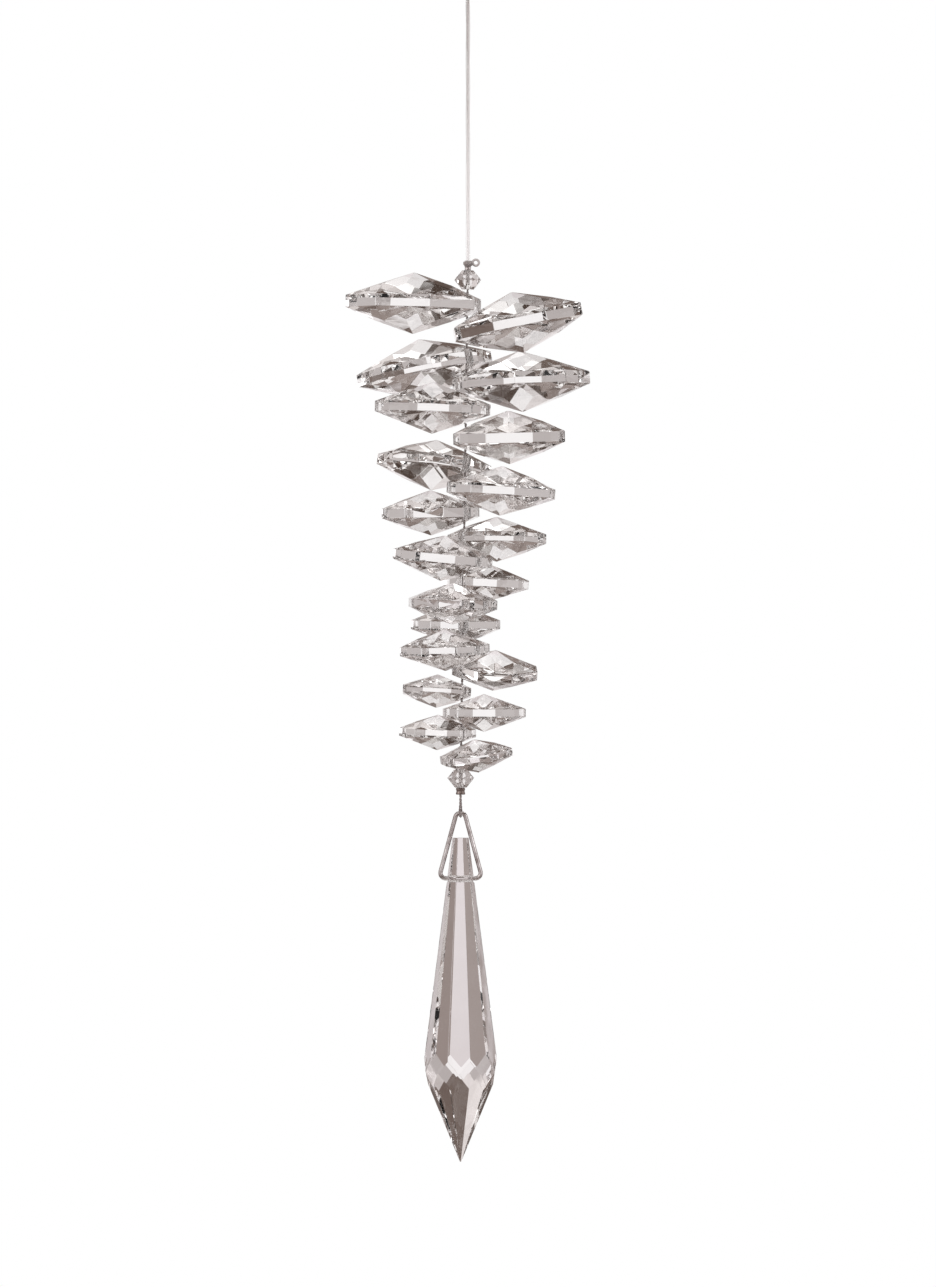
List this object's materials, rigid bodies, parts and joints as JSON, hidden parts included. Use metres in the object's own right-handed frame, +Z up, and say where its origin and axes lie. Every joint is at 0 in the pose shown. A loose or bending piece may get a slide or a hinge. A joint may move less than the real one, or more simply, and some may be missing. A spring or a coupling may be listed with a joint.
{
  "type": "icicle hanging ornament",
  "caption": "Hanging ornament of clear octagon crystals strung on a thread, with a faceted icicle drop swinging below on a wire bail.",
  "frame": {"origin": "the top of the space inside the hanging loop, where a hook bears", "axes": "+Z up along the cord; the viewer stands on the -Y side, with +X to the right"},
  "size_m": [0.0572, 0.045, 0.2986],
  "materials": {
    "cord": "pale grey twisted cord",
    "thread": "grey waxed thread",
    "crimp": "satin",
    "wire": "polished",
    "crystal_glass": "clear, cut and polished",
    "bead_glass": "clear, cut and polished",
    "icicle_glass": "clear, cut and polished"
  },
  "bodies": {
    "root": {"hanging_loop": "cord", "loop_knot": "cord", "hanging_cord": "cord", "upper_knot": "cord", "knot_tail": "thread", "upper_crimp": "crimp", "string_thread": "thread", "lower_crimp": "crimp"},
    "upper_bead": {"upper_bead": "bead_glass"},
    "crystal_01": {"crystal_01": "crystal_glass"},
    "crystal_02": {"crystal_02": "crystal_glass"},
    "crystal_03": {"crystal_03": "crystal_glass"},
    "crystal_04": {"crystal_04": "crystal_glass"},
    "crystal_05": {"crystal_05": "crystal_glass"},
    "crystal_06": {"crystal_06": "crystal_glass"},
    "crystal_07": {"crystal_07": "crystal_glass"},
    "crystal_08": {"crystal_08": "crystal_glass"},
    "crystal_09": {"crystal_09": "crystal_glass"},
    "crystal_10": {"crystal_10": "crystal_glass"},
    "crystal_11": {"crystal_11": "crystal_glass"},
    "crystal_12": {"crystal_12": "crystal_glass"},
    "crystal_13": {"crystal_13": "crystal_glass"},
    "crystal_14": {"crystal_14": "crystal_glass"},
    "crystal_15": {"crystal_15": "crystal_glass"},
    "crystal_16": {"crystal_16": "crystal_glass"},
    "crystal_17": {"crystal_17": "crystal_glass"},
    "crystal_18": {"crystal_18": "crystal_glass"},
    "crystal_19": {"crystal_19": "crystal_glass"},
    "crystal_20": {"crystal_20": "crystal_glass"},
    "lower_bead": {"lower_bead": "bead_glass"},
    "pendant_loop": {"pendant_loop": "thread"},
    "bail": {"bail": "wire"},
    "icicle": {"icicle": "icicle_glass"}
  },
  "joints": [
    {"name": "upper_bead_spin", "type": "hinge", "parent": "root", "child": "upper_bead", "pos_m": [-0.00006, 0, -0.09075], "axis": [0, 0, 1], "continuous": true},
    {"name": "crystal_01_swing", "type": "hinge", "parent": "root", "child": "crystal_01", "pos_m": [-0.00015, 0, -0.0966], "axis": [0, 0, 1], "range_deg": [-40, 5]},
    {"name": "crystal_02_swing", "type": "hinge", "parent": "root", "child": "crystal_02", "pos_m": [-0.00024, 0, -0.10325], "axis": [0, 0, 1], "range_deg": [-5, 3]},
    {"name": "crystal_03_swing", "type": "hinge", "parent": "root", "child": "crystal_03", "pos_m": [-0.00032, 0, -0.10905], "axis": [0, 0, 1], "range_deg": [-6, 26]},
    {"name": "crystal_04_swing", "type": "hinge", "parent": "root", "child": "crystal_04", "pos_m": [-0.00041, 0, -0.11525], "axis": [0, 0, 1], "range_deg": [-3, 5]},
    {"name": "crystal_05_swing", "type": "hinge", "parent": "root", "child": "crystal_05", "pos_m": [-0.00049, 0, -0.1213], "axis": [0, 0, 1], "range_deg": [-27, 7]},
    {"name": "crystal_06_swing", "type": "hinge", "parent": "root", "child": "crystal_06", "pos_m": [-0.00058, 0, -0.12785], "axis": [0, 0, 1], "range_deg": [-7, 40]},
    {"name": "crystal_07_swing", "type": "hinge", "parent": "root", "child": "crystal_07", "pos_m": [-0.00067, 0, -0.134], "axis": [0, 0, 1], "range_deg": [-34, 8]},
    {"name": "crystal_08_swing", "type": "hinge", "parent": "root", "child": "crystal_08", "pos_m": [-0.00075, 0, -0.13985], "axis": [0, 0, 1], "range_deg": [-40, 34]},
    {"name": "crystal_09_swing", "type": "hinge", "parent": "root", "child": "crystal_09", "pos_m": [-0.00082, 0, -0.1452], "axis": [0, 0, 1], "range_deg": [-7, 40]},
    {"name": "crystal_10_swing", "type": "hinge", "parent": "root", "child": "crystal_10", "pos_m": [-0.00091, 0, -0.1511], "axis": [0, 0, 1], "range_deg": [-22, 7]},
    {"name": "crystal_11_swing", "type": "hinge", "parent": "root", "child": "crystal_11", "pos_m": [-0.00098, 0, -0.1563], "axis": [0, 0, 1], "range_deg": [-40, 13]},
    {"name": "crystal_12_swing", "type": "hinge", "parent": "root", "child": "crystal_12", "pos_m": [-0.00105, 0, -0.1614], "axis": [0, 0, 1], "range_deg": [-10, 40]},
    {"name": "crystal_13_swing", "type": "hinge", "parent": "root", "child": "crystal_13", "pos_m": [-0.00112, 0, -0.1666], "axis": [0, 0, 1], "range_deg": [-13, 21]},
    {"name": "crystal_14_swing", "type": "hinge", "parent": "root", "child": "crystal_14", "pos_m": [-0.0012, 0, -0.17185], "axis": [0, 0, 1], "range_deg": [-40, 13]},
    {"name": "crystal_15_swing", "type": "hinge", "parent": "root", "child": "crystal_15", "pos_m": [-0.00127, 0, -0.1771], "axis": [0, 0, 1], "range_deg": [-13, 19]},
    {"name": "crystal_16_swing", "type": "hinge", "parent": "root", "child": "crystal_16", "pos_m": [-0.00134, 0, -0.18235], "axis": [0, 0, 1], "range_deg": [-18, 17]},
    {"name": "crystal_17_swing", "type": "hinge", "parent": "root", "child": "crystal_17", "pos_m": [-0.00141, 0, -0.1873], "axis": [0, 0, 1], "range_deg": [-17, 28]},
    {"name": "crystal_18_swing", "type": "hinge", "parent": "root", "child": "crystal_18", "pos_m": [-0.00148, 0, -0.1922], "axis": [0, 0, 1], "range_deg": [-28, 40]},
    {"name": "crystal_19_swing", "type": "hinge", "parent": "root", "child": "crystal_19", "pos_m": [-0.00155, 0, -0.1972], "axis": [0, 0, 1], "range_deg": [-40, 32]},
    {"name": "crystal_20_swing", "type": "hinge", "parent": "root", "child": "crystal_20", "pos_m": [-0.00162, 0, -0.20225], "axis": [0, 0, 1], "range_deg": [-40, 40]},
    {"name": "lower_bead_spin", "type": "hinge", "parent": "root", "child": "lower_bead", "pos_m": [-0.00169, 0, -0.20755], "axis": [0, 0, 1], "continuous": true},
    {"name": "pendant_swing_sideways", "type": "hinge", "parent": "root", "child": "pendant_loop", "pos_m": [-0.00175, 0, -0.21145], "axis": [0, 1, 0], "range_deg": [-15, 15]},
    {"name": "bail_swing", "type": "hinge", "parent": "pendant_loop", "child": "bail", "pos_m": [-0.00175, 0, -0.2158], "axis": [1, 0, 0], "range_deg": [-45, 45]},
    {"name": "icicle_swing", "type": "hinge", "parent": "bail", "child": "icicle", "pos_m": [-0.00175, 0, -0.2311], "axis": [1, 0, 0], "range_deg": [-60, 60]}
  ]
}
